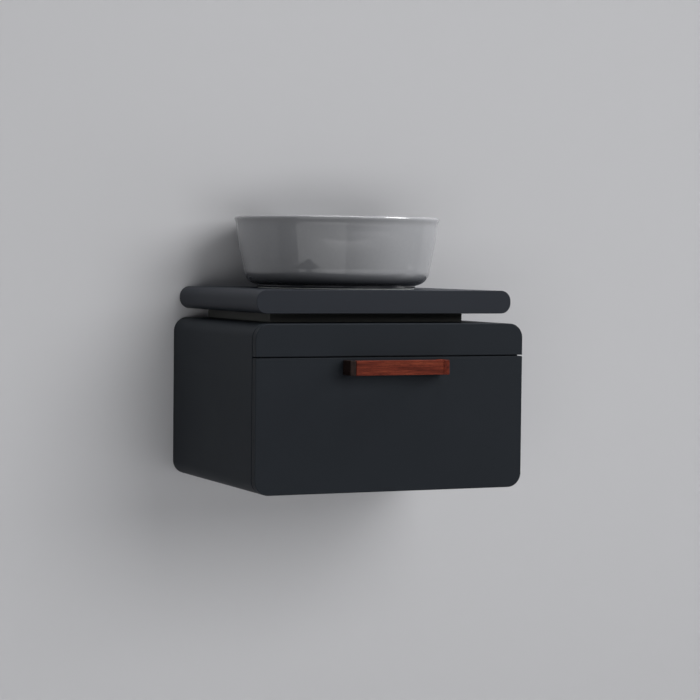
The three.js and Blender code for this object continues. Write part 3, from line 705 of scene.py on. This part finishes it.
def foot_and_outside():
    """From the waste hole along the underside, round the foot and up to the rim."""
    points = [(DRAIN, FOOT_RISE), (FOOT - FOOT_WIDTH, FOOT_RISE)]
    points += arc((FOOT - FOOT_WIDTH + FOOT_ARRIS, FOOT_ARRIS), FOOT_ARRIS, 180, 270, 3)
    points += arc((FOOT - FOOT_ARRIS, FOOT_ARRIS), FOOT_ARRIS, 270, 360, 3)
    points += [(FOOT, FOOT_RISE - 1 * MM)]
    heights = [FOOT_RISE + (TURN - FOOT_RISE) * (i / 12) ** 1.6 for i in range(1, 13)]
    heights += [TURN + (bowl_height - WALL / 2 - TURN) * i / 24 for i in range(1, 24)]
    return points + [(outer_radius(height), height) for height in heights]


def rim_and_inside():
    """Over the rim, down the inner wall, across the floor and back to the waste hole."""
    floor = FOOT_RISE + FLOOR
    lip = WALL / 2
    points = arc((RIM - lip, bowl_height - lip), lip, 0, 180, 12)
    turn_top = floor + FLOOR_FALL + INNER_TURN
    heights = [turn_top + (bowl_height - lip - turn_top) * i / 16 for i in range(15, 0, -1)]
    points += [(outer_radius(height) - WALL, height) for height in heights]
    floor_edge = outer_radius(turn_top) - WALL - INNER_TURN
    points += arc((floor_edge, turn_top), INNER_TURN, 0, -90, 14)
    slope = [i / 6 for i in range(5, -1, -1)]
    points += [(SEAT + (floor_edge - SEAT) * t, floor + FLOOR_FALL * t ** 1.5) for t in slope]
    points += [(DRAIN + DRAIN_CHAMFER, floor), (DRAIN, floor - DRAIN_CHAMFER), (DRAIN, FOOT_RISE)]
    return points


def lathe(name, node, profile, finish, segments, sharp_from):
    """Turn a piece up from the underside of its node, keep edges sharp beyond an angle, and hang it."""
    piece = turned(name, profile, (bowl_x, bowl_y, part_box(node)[0].z), segments)
    piece.data.shade_smooth()
    piece.data.set_sharp_from_angle(angle=math.radians(sharp_from))
    return hang(piece, finish, node)


bowl = lathe("stoneware_bowl", "basin", foot_and_outside() + rim_and_inside(), glaze, 144, 50)
print(f"bowl {1000 * bowl.dimensions.x:.0f} mm across and {1000 * bowl.dimensions.z:.0f} mm high")


# %% [markdown]
# ## The waste and its plug
# In the middle of the bowl sits a polished flange, and on it a shallow domed plug that is pushed down to
# close and springs up to open. Both are turned on a lathe in reality, so they are turned here too.

# %% Waste flange
FLANGE, BORE, THREAD = 33 * MM, 17.5 * MM, 21 * MM
THREAD_START, THREAD_END, THREAD_PITCH, THREAD_DEPTH = 3 * MM, 40 * MM, 2 * MM, 0.7 * MM
FLANGE_THICK, FLANGE_EDGE, MOUTH = 3 * MM, 1.2 * MM, 2 * MM
waste_low, waste_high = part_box("waste_body")
flange_top = waste_high.z - waste_low.z
flange_under = flange_top - FLANGE_THICK

waste_profile = [(BORE, 0), (THREAD - 1 * MM, 0), (THREAD, 1 * MM)]
for ridge in range(18):
    height = THREAD_START + ridge * THREAD_PITCH
    waste_profile += [(THREAD, height), (THREAD - THREAD_DEPTH, height + THREAD_PITCH / 2)]
waste_profile += [(THREAD, THREAD_END), (THREAD, flange_under), (FLANGE - 0.8 * MM, flange_under)]
waste_profile += arc((FLANGE - FLANGE_EDGE, flange_top - FLANGE_EDGE), FLANGE_EDGE, -60, 90, 6)
waste_profile += arc((BORE + MOUTH, flange_top - MOUTH), MOUTH, 90, 180, 5) + [(BORE, 0)]
waste = lathe("waste_flange", "waste_body", waste_profile, chrome, 64, 35)
print(f"waste {1000 * flange_top:.0f} mm long, flange {2000 * FLANGE:.0f} mm across")


# %% Plug
PLUG, STEM, CAP = 32 * MM, 5 * MM, 6 * MM
EASE, CAP_EDGE, DOME_RISE = 2 * MM, 1.6 * MM, 3 * MM
plug_low, plug_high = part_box("drain_plug")
cap_under = plug_high.z - plug_low.z - CAP
dome_base = cap_under + CAP - DOME_RISE

plug_profile = [(0, 0), (STEM - 1 * MM, 0), (STEM, 1 * MM), (STEM, cap_under - EASE)]
plug_profile += [(STEM + EASE, cap_under), (PLUG - EASE, cap_under)]
plug_profile += arc((PLUG - CAP_EDGE, cap_under + CAP_EDGE), CAP_EDGE, -90, 40, 6)
dome = [(PLUG - CAP_EDGE) * (1 - i / 10) for i in range(1, 11)]
plug_profile += [(radius, dome_base + DOME_RISE * (1 - (radius / PLUG) ** 2)) for radius in dome]
plug = lathe("plug_cap", "drain_plug", plug_profile, chrome, 72, 40)
print(f"plug {2000 * PLUG:.0f} mm across")


# %% [markdown]
# ## The handle
# Two short legs stand on the drawer front and a bar is glued between them, all planed from the same
# stock. The legs' grain points forward, so their faces are end grain, and the bar's grain runs along it.
# The left leg gets a much darker copy of the wood, which is painted shade. The arrises are sanded by hand
# to a little over a millimetre.

# %% Handle
HANDLE_ARRIS = 1.2


def wooden_stick(name, node, finish):
    low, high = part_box(node)
    outline = arc_outline((low.x, low.z), (high.x, high.z), [0] * 4)
    stick = prism(name, outline, low.y, high.y)
    return hang(ease_edges(stick, HANDLE_ARRIS, 4), finish, node)


bar = wooden_stick("handle_bar_wood", "handle_bar", bar_wood)
# The left leg's darker wood is painted shade.
wooden_stick("handle_leg_wood_left", "handle_leg_left", shaded_leg_wood_painted_shade)
wooden_stick("handle_leg_wood_right", "handle_leg_right", leg_wood)
print(f"handle bar {1000 * bar.dimensions.x:.0f} mm long")


# %% [markdown]
# ## Everything behind the fronts
# The boards, runners, hangers and the trap keep their CAD shape exactly. Each one is copied, its split
# triangles are joined again, flat areas are merged, and its edges are eased by what suits it: a saw-cut
# board by 0.4 mm, a pressed steel channel by less, a moulded nut by more. This is quicker than drawing
# three dozen plain parts again, and it keeps every hole and slot where the CAD put it.

# %% Copies with eased edges
def eased_copy(node, width):
    """A copy of a CAD node with joined faces and eased edges."""
    bm = bmesh.new()
    bm.from_mesh(frame["nodes"][node].data)
    bmesh.ops.remove_doubles(bm, verts=bm.verts, dist=0.01 * MM)
    flat = math.radians(0.5)
    bmesh.ops.dissolve_limit(bm, angle_limit=flat, verts=bm.verts, edges=bm.edges)
    copy = ease_edges(make_object(f"{node}_eased", bm), width, 2, angle=35)
    hang(copy, finishes[slot_of[node]], node)


eased_widths = {  # mm
    0.4: ["front_rail", "back_rail_upper", "back_rail_lower", "spacer_front", "spacer_left", "spacer_right",
          "spacer_back", "drawer_side_left", "drawer_side_right", "drawer_box_front", "drawer_base",
          "drawer_back_left", "drawer_back_right", "drawer_recess_left", "drawer_recess_right",
          "drawer_recess_front", "plug_guide", "trap_inlet_pipe", "trap_outlet_pipe"],
    0.25: ["runner_cabinet_left", "runner_cabinet_right", "runner_middle_left", "runner_middle_right",
           "runner_drawer_left", "runner_drawer_right", "hanger_hook_left", "hanger_hook_right", "wall_rail"],
    0.9: ["hanger_body_left", "hanger_body_right", "waste_locknut", "trap_inlet_nut", "trap_body",
          "trap_cup", "trap_outlet_nut", "wall_rosette"],
}
for width, nodes in eased_widths.items():
    for node in nodes:
        eased_copy(node, width)
print("eased copies:", sum(len(nodes) for nodes in eased_widths.values()))


# %% [markdown]
# ## Small parts kept as they are
# The bead under the bowl, the gaskets, the bumpers and the two handle screws are small, soft or hidden, and
# easing their edges would show nothing. Their CAD nodes stay, and each one gets the finish of its slot.

# %% Nodes kept as they are
kept = [name for name, node in frame["nodes"].items() if not node.hide_render]
for name in kept:
    node = frame["nodes"][name]
    node.data.materials[0] = finishes[slot_of[name]]
print("CAD nodes kept:", ", ".join(sorted(kept)))


# %% [markdown]
# ## The room
# The vanity hangs on a pale wall over a pale floor, both in flat matt paint. The wall is drawn as a flat
# curve with the outline of the case and of the slab cut out of it, so that light reaches the back of the
# case in a view from behind. The paint is clear from its rear side, so that neither blocks a view.

# %% Wall and floor
def pale_paint(name, colour):
    material, tree, surface = finish_of(name, {"Roughness": 0.9, "Specular IOR Level": 0.1})
    surface.inputs["Base Color"].default_value = linear(colour)
    output = [node for node in tree.nodes if node.type == "OUTPUT_MATERIAL"][0]
    rear = add(tree, "NewGeometry").outputs["Backfacing"]
    clear = add(tree, "BsdfTransparent")
    choice = add(tree, "MixShader", links={0: rear, 1: surface.outputs["BSDF"], 2: clear.outputs["BSDF"]})
    tree.links.new(choice.outputs["Shader"], output.inputs["Surface"])
    return material


WALL_SPAN, FLOOR_LEVEL = 7.0, -0.92
TUCK, WALL_GAP = 1 * MM, 0.3 * MM  # the wall reaches under the outlines, and stands just behind Y = 0
wall_curve = bpy.data.curves.new("wall", "CURVE")
wall_curve.dimensions = "2D"
wall_curve.fill_mode = "BOTH"
outlines = [
    [(-WALL_SPAN, FLOOR_LEVEL), (WALL_SPAN, FLOOR_LEVEL), (WALL_SPAN, WALL_SPAN), (-WALL_SPAN, WALL_SPAN)],
    arc_outline((left_low.x + TUCK, bottom_low.z + TUCK), (-left_low.x - TUCK, top_high.z - TUCK),
                [corner - TUCK] * 4),
    arc_outline((slab_low.x + TUCK, slab_low.z + TUCK), (slab_high.x - TUCK, slab_high.z - TUCK),
                [SLAB_END - TUCK] * 4),
]
for outline in outlines:
    spline = wall_curve.splines.new("POLY")
    spline.points.add(len(outline) - 1)
    for point, (x, z) in zip(spline.points, outline):
        point.co = (x, z, 0, 1)
    spline.use_cyclic_u = True
wall = bpy.data.objects.new("wall", wall_curve)
wall.rotation_euler = (math.radians(90), 0, 0)
wall.location.y = WALL_GAP
wall_curve.materials.append(pale_paint("wall_paint", "#CBCBCD"))
scene.collection.objects.link(wall)

bm = bmesh.new()
bmesh.ops.create_grid(bm, x_segments=4, y_segments=4, size=WALL_SPAN)
bmesh.ops.translate(bm, verts=bm.verts, vec=(0, 0, FLOOR_LEVEL))
floor = make_object("floor", bm)
floor.data.flip_normals()  # its painted side faces up
floor.data.materials.append(pale_paint("floor_paint", "#DCDCDD"))
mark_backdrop(wall, floor)
print(f"wall and floor {2 * WALL_SPAN:.0f} m wide, the floor {-FLOOR_LEVEL:.2f} m down")


# %% [markdown]
# ## The light
# One large soft panel in front, a little to the right, gives the wall and the fronts their even tone. The
# others each do one job, as in a product studio, and light linking keeps each on its own subject: one far
# to the right rounds the bowl, one grazes the case, one overhead picks out the upper edges, one low down
# fills the shadow on the wall, and one behind shows the back. Two stand on the left: a weak fill lights
# the shaded side and is not mirrored, and a reflector is only mirrored, so that its upright edge draws
# the dark band on the bowl. The room is dim, and pale only where the camera looks at it.

# %% Light
def soft_panel(name, side, height, distance, size, power, only=()):
    """A flat light that faces the bowl, lighting everything or only some things.

    Side and height are angles in degrees, 0 straight in front; distance and size are in metres, power in W.
    """
    light = bpy.data.lights.new(name, "AREA")
    light.shape = "RECTANGLE"
    light.size, light.size_y = size
    light.energy = power
    across, rise = math.radians(side), math.radians(height)
    away = Vector((math.sin(across) * math.cos(rise), -math.cos(across) * math.cos(rise), math.sin(rise)))
    panel = bpy.data.objects.new(name, light)
    panel.location = Vector((bowl_x, bowl_y, basin_low.z)) + away * distance
    panel.rotation_euler = away.to_track_quat("Z", "Y").to_euler()
    panel.visible_camera = False
    scene.collection.objects.link(panel)
    if only:
        receivers = bpy.data.collections.new("lit_by_" + name)
        for thing in only:
            receivers.objects.link(thing)
        panel.light_linking.receiver_collection = receivers
    return panel


furniture = [thing for thing in scene.objects if thing.type == "MESH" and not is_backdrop(thing)]
vessel = [bowl, waste, plug]
cabinet = [thing for thing in furniture if thing not in vessel]
soft_panel("front_panel", 22, 21, 8.0, (5.6, 4.4), 316)
soft_panel("bowl_panel", 61, 42, 3.6, (1.0, 1.8), 190, vessel)
soft_panel("side_panel", 82, 30, 3.6, (1.0, 1.8), 190, cabinet)
soft_panel("overhead_panel", -25, 76, 2.6, (1.6, 1.0), 36, furniture)
soft_panel("wall_panel", -12, -8, 4.2, (4.0, 0.8), 44, [wall, floor])
left_fill = soft_panel("left_fill", -78, 4, 2.4, (1.2, 1.2), 4.5, furniture)
left_fill.visible_glossy = False
soft_panel("rear_panel", 160, 12, 3.2, (2.2, 1.6), 60, furniture)
left_reflector = soft_panel("left_reflector", -41, -4, 2.2, (2.3, 1.7), 7)
left_reflector.visible_diffuse = False

world = bpy.data.worlds.new("studio")
world.use_nodes = True
tree = world.node_tree
tree.nodes.clear()
seen = add(tree, "Background", {"Color": linear("#C6C7C9"), "Strength": 1.0})
dim = add(tree, "Background", {"Color": linear("#E4E7EC"), "Strength": 0.16})
direct = add(tree, "LightPath").outputs["Is Camera Ray"]
sky = add(tree, "MixShader", links={0: direct, 1: dim.outputs["Background"], 2: seen.outputs["Background"]})
add(tree, "OutputWorld", links={"Surface": sky.outputs["Shader"]})
scene.world = world


# %% [markdown]
# ## Finish
# The last line brings the scene up to date.

# %% Finish
bpy.context.view_layer.update()
